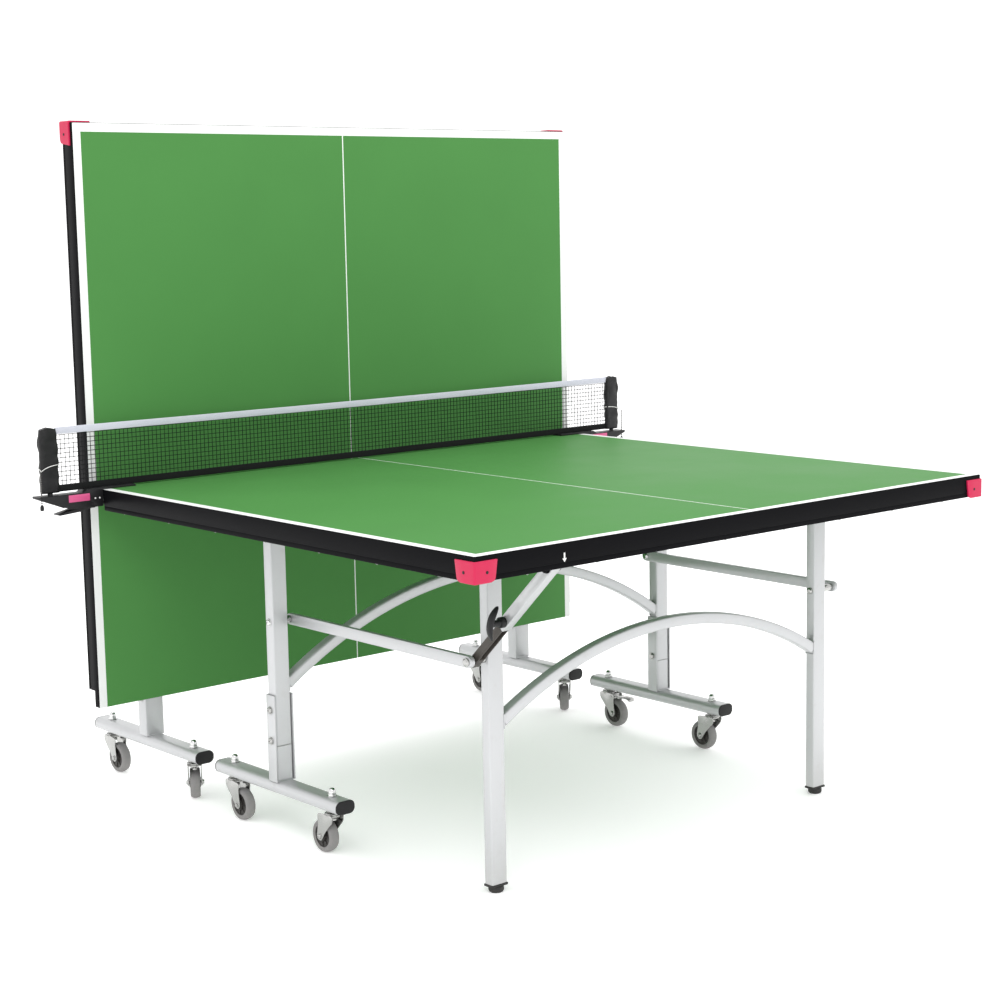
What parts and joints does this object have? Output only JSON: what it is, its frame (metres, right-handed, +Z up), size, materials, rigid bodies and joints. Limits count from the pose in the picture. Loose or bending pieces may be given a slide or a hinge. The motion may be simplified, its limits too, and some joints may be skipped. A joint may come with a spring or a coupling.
{
  "type": "ping pong table",
  "caption": "Full-size folding ping pong table in two wheeled halves, one open and one folded up for solo play, with arched tube frames and a clamp-on net.",
  "frame": {"origin": "middle of the whole table's box at floor level, with one half open and the other folded up", "axes": "+X along the net, +Y from the open half towards the folded half, +Z up"},
  "size_m": [1.849, 1.6822, 1.6042],
  "materials": {
    "playing_surface": "fine matte textured paint",
    "apron": "satin black powder coat",
    "frame": "silver white powder coat",
    "fasteners": "bright zinc",
    "guard": "bright pink",
    "black_plastic": "moulded",
    "strut_rod": "satin",
    "tyre": "matte grey",
    "net_cloth": "knotless mesh"
  },
  "bodies": {
    "near_base": {"near_upright_frame": "frame", "near_foot_bars": "frame", "near_foot_caps": "black_plastic", "near_frame_bolts": "fasteners"},
    "near_top": {"near_board": "playing_surface", "near_apron": "apron", "near_guards": "guard", "near_rails": "apron", "net": "net_cloth", "net_posts": "black_plastic", "tension_chains": "fasteners"},
    "near_legs": {"near_leg_frame": "frame", "near_leg_inserts": "black_plastic", "near_leg_bolts": "fasteners"},
    "near_foot_left": {"near_leg_foot_left": "black_plastic"},
    "near_foot_right": {"near_leg_foot_right": "black_plastic"},
    "near_links": {"near_links": "frame"},
    "near_strut_tube": {"near_strut_tube": "frame"},
    "near_strut_rod": {"near_strut_rod": "strut_rod"},
    "near_pull_knob": {"near_pull_knob": "black_plastic"},
    "far_base": {"far_upright_frame": "frame", "far_foot_bars": "frame", "far_foot_caps": "black_plastic", "far_frame_bolts": "fasteners"},
    "far_top": {"far_board": "playing_surface", "far_apron": "apron", "far_guards": "guard", "far_rails": "apron"},
    "far_legs": {"far_leg_frame": "frame", "far_leg_inserts": "black_plastic", "far_leg_bolts": "fasteners"},
    "far_foot_left": {"far_leg_foot_left": "black_plastic"},
    "far_foot_right": {"far_leg_foot_right": "black_plastic"},
    "far_links": {"far_links": "frame"},
    "far_strut_tube": {"far_strut_tube": "frame"},
    "far_strut_rod": {"far_strut_rod": "strut_rod"},
    "far_pull_knob": {"far_pull_knob": "black_plastic"},
    "clamp_lever_left": {"clamp_lever_left": "black_plastic"},
    "clamp_lever_right": {"clamp_lever_right": "black_plastic"},
    "fork_near_left_end": {"fork_near_left_end": "fasteners"},
    "wheel_near_left_end": {"wheel_near_left_end": "tyre"},
    "fork_near_left_net": {"fork_near_left_net": "fasteners"},
    "wheel_near_left_net": {"wheel_near_left_net": "tyre"},
    "fork_near_right_end": {"fork_near_right_end": "fasteners"},
    "wheel_near_right_end": {"wheel_near_right_end": "tyre"},
    "fork_near_right_net": {"fork_near_right_net": "fasteners"},
    "wheel_near_right_net": {"wheel_near_right_net": "tyre"},
    "brake_near_right_net": {"brake_near_right_net": "fasteners"},
    "fork_far_left_net": {"fork_far_left_net": "fasteners"},
    "wheel_far_left_net": {"wheel_far_left_net": "tyre"},
    "fork_far_left_end": {"fork_far_left_end": "fasteners"},
    "wheel_far_left_end": {"wheel_far_left_end": "tyre"},
    "fork_far_right_net": {"fork_far_right_net": "fasteners"},
    "wheel_far_right_net": {"wheel_far_right_net": "tyre"},
    "fork_far_right_end": {"fork_far_right_end": "fasteners"},
    "wheel_far_right_end": {"wheel_far_right_end": "tyre"},
    "brake_far_right_end": {"brake_far_right_end": "fasteners"}
  },
  "joints": [
    {"name": "near_fold", "type": "hinge", "parent": "near_base", "child": "near_top", "pos_m": [0, 0.04465, 0.718], "axis": [-1, 0, 0], "range_deg": [0, 90]},
    {"name": "near_legs_turn", "type": "hinge", "parent": "near_top", "child": "near_legs", "pos_m": [0, -0.57035, 0.718], "axis": [1, 0, 0], "range_deg": [0, 90]},
    {"name": "near_links_turn", "type": "hinge", "parent": "near_base", "child": "near_links", "pos_m": [0, 0.04465, 0.49], "axis": [-1, 0, 0], "range_deg": [0, 90]},
    {"name": "near_strut_tube_turn", "type": "hinge", "parent": "near_top", "child": "near_strut_tube", "pos_m": [-0.541, -0.79803, 0.706], "axis": [1, 0, 0], "range_deg": [0, 45]},
    {"name": "near_strut_rod_turn", "type": "hinge", "parent": "near_legs", "child": "near_strut_rod", "pos_m": [-0.541, -0.57035, 0.49], "axis": [-1, 0, 0], "range_deg": [0, 45]},
    {"name": "near_pull", "type": "slide", "parent": "near_strut_tube", "child": "near_pull_knob", "axis": [-1, 0, 0], "range_m": [0, 0.008], "stiffness_N_per_m": 600, "springref_m": -0.01},
    {"name": "near_foot_left_screw", "type": "hinge", "parent": "near_legs", "child": "near_foot_left", "pos_m": [-0.5, -0.57035, 0], "axis": [0, 0, 1], "continuous": true},
    {"name": "near_foot_right_screw", "type": "hinge", "parent": "near_legs", "child": "near_foot_right", "pos_m": [0.5, -0.57035, 0], "axis": [0, 0, 1], "continuous": true},
    {"name": "far_roll", "type": "slide", "parent": "near_base", "child": "far_base", "axis": [0, 1, 0], "range_m": [0, 0.438]},
    {"name": "far_tilt", "type": "hinge", "parent": "far_base", "child": "far_top", "pos_m": [0, 0.60265, 0.718], "axis": [-1, 0, 0], "range_deg": [0, 90]},
    {"name": "far_legs_turn", "type": "hinge", "parent": "far_top", "child": "far_legs", "pos_m": [0, 0.60265, 1.333], "axis": [1, 0, 0], "range_deg": [0, 90]},
    {"name": "far_links_turn", "type": "hinge", "parent": "far_base", "child": "far_links", "pos_m": [0, 0.60265, 0.49], "axis": [-1, 0, 0], "range_deg": [0, 90]},
    {"name": "far_strut_tube_turn", "type": "hinge", "parent": "far_top", "child": "far_strut_tube", "pos_m": [0.541, 0.61465, 1.56068], "axis": [1, 0, 0], "range_deg": [0, 45]},
    {"name": "far_strut_rod_turn", "type": "hinge", "parent": "far_legs", "child": "far_strut_rod", "pos_m": [0.541, 0.60265, 1.105], "axis": [-1, 0, 0], "range_deg": [0, 45]},
    {"name": "far_pull", "type": "slide", "parent": "far_strut_tube", "child": "far_pull_knob", "axis": [1, 0, 0], "range_m": [0, 0.008], "stiffness_N_per_m": 600, "springref_m": -0.01},
    {"name": "far_foot_left_screw", "type": "hinge", "parent": "far_legs", "child": "far_foot_left", "pos_m": [-0.5, 0.60265, 0.615], "axis": [0, 0, 1], "continuous": true},
    {"name": "far_foot_right_screw", "type": "hinge", "parent": "far_legs", "child": "far_foot_right", "pos_m": [0.5, 0.60265, 0.615], "axis": [0, 0, 1], "continuous": true},
    {"name": "clamp_squeeze_left", "type": "hinge", "parent": "near_top", "child": "clamp_lever_left", "pos_m": [-0.7925, 0.51365, 0.73], "axis": [0, 1, 0], "range_deg": [0, 10], "stiffness_Nm_per_rad": 1.5, "springref_deg": -17.19},
    {"name": "clamp_squeeze_right", "type": "hinge", "parent": "near_top", "child": "clamp_lever_right", "pos_m": [0.7925, 0.51365, 0.73], "axis": [0, -1, 0], "range_deg": [0, 10], "stiffness_Nm_per_rad": 1.5, "springref_deg": -17.19},
    {"name": "swivel_near_left_end", "type": "hinge", "parent": "near_base", "child": "fork_near_left_end", "pos_m": [-0.6, -0.14535, 0.1], "axis": [0, 0, 1], "continuous": true},
    {"name": "spin_near_left_end", "type": "hinge", "parent": "fork_near_left_end", "child": "wheel_near_left_end", "pos_m": [-0.6, -0.11735, 0.0375], "axis": [1, 0, 0], "continuous": true},
    {"name": "swivel_near_left_net", "type": "hinge", "parent": "near_base", "child": "fork_near_left_net", "pos_m": [-0.6, 0.23465, 0.1], "axis": [0, 0, 1], "continuous": true},
    {"name": "spin_near_left_net", "type": "hinge", "parent": "fork_near_left_net", "child": "wheel_near_left_net", "pos_m": [-0.6, 0.20665, 0.0375], "axis": [-1, 0, 0], "continuous": true},
    {"name": "swivel_near_right_end", "type": "hinge", "parent": "near_base", "child": "fork_near_right_end", "pos_m": [0.6, -0.14535, 0.1], "axis": [0, 0, 1], "continuous": true},
    {"name": "spin_near_right_end", "type": "hinge", "parent": "fork_near_right_end", "child": "wheel_near_right_end", "pos_m": [0.6, -0.11735, 0.0375], "axis": [1, 0, 0], "continuous": true},
    {"name": "swivel_near_right_net", "type": "hinge", "parent": "near_base", "child": "fork_near_right_net", "pos_m": [0.6, 0.23465, 0.1], "axis": [0, 0, 1], "continuous": true},
    {"name": "spin_near_right_net", "type": "hinge", "parent": "fork_near_right_net", "child": "wheel_near_right_net", "pos_m": [0.6, 0.20665, 0.0375], "axis": [-1, 0, 0], "continuous": true},
    {"name": "pedal_near_right_net", "type": "hinge", "parent": "fork_near_right_net", "child": "brake_near_right_net", "pos_m": [0.6, 0.20965, 0.0835], "axis": [1, 0, 0], "range_deg": [0, 8], "stiffness_Nm_per_rad": 0.4, "springref_deg": -17.19},
    {"name": "swivel_far_left_net", "type": "hinge", "parent": "far_base", "child": "fork_far_left_net", "pos_m": [-0.6, 0.41265, 0.1], "axis": [0, 0, 1], "continuous": true},
    {"name": "spin_far_left_net", "type": "hinge", "parent": "fork_far_left_net", "child": "wheel_far_left_net", "pos_m": [-0.58516, 0.43639, 0.0375], "axis": [0.848, -0.5299, 0], "continuous": true},
    {"name": "swivel_far_left_end", "type": "hinge", "parent": "far_base", "child": "fork_far_left_end", "pos_m": [-0.6, 0.79265, 0.1], "axis": [0, 0, 1], "continuous": true},
    {"name": "spin_far_left_end", "type": "hinge", "parent": "fork_far_left_end", "child": "wheel_far_left_end", "pos_m": [-0.6, 0.76465, 0.0375], "axis": [-1, 0, 0], "continuous": true},
    {"name": "swivel_far_right_net", "type": "hinge", "parent": "far_base", "child": "fork_far_right_net", "pos_m": [0.6, 0.41265, 0.1], "axis": [0, 0, 1], "continuous": true},
    {"name": "spin_far_right_net", "type": "hinge", "parent": "fork_far_right_net", "child": "wheel_far_right_net", "pos_m": [0.618, 0.4341, 0.0375], "axis": [0.766, -0.6428, 0], "continuous": true},
    {"name": "swivel_far_right_end", "type": "hinge", "parent": "far_base", "child": "fork_far_right_end", "pos_m": [0.6, 0.79265, 0.1], "axis": [0, 0, 1], "continuous": true},
    {"name": "spin_far_right_end", "type": "hinge", "parent": "fork_far_right_end", "child": "wheel_far_right_end", "pos_m": [0.6, 0.76465, 0.0375], "axis": [-1, 0, 0], "continuous": true},
    {"name": "pedal_far_right_end", "type": "hinge", "parent": "fork_far_right_end", "child": "brake_far_right_end", "pos_m": [0.6, 0.76765, 0.0835], "axis": [1, 0, 0], "range_deg": [0, 8], "stiffness_Nm_per_rad": 0.4, "springref_deg": -17.19}
  ],
  "couplings": [
    {"joint": "near_legs_turn", "follows": "near_fold", "ratio": 1},
    {"joint": "near_links_turn", "follows": "near_fold", "ratio": 1},
    {"joint": "near_strut_tube_turn", "follows": "near_fold", "ratio": 0.5},
    {"joint": "near_strut_rod_turn", "follows": "near_fold", "ratio": 0.5},
    {"joint": "far_roll", "follows": "far_tilt", "m_per_rad": 0.27884},
    {"joint": "far_legs_turn", "follows": "far_tilt", "ratio": 1},
    {"joint": "far_links_turn", "follows": "far_tilt", "ratio": 1},
    {"joint": "far_strut_tube_turn", "follows": "far_tilt", "ratio": 0.5},
    {"joint": "far_strut_rod_turn", "follows": "far_tilt", "ratio": 0.5}
  ]
}
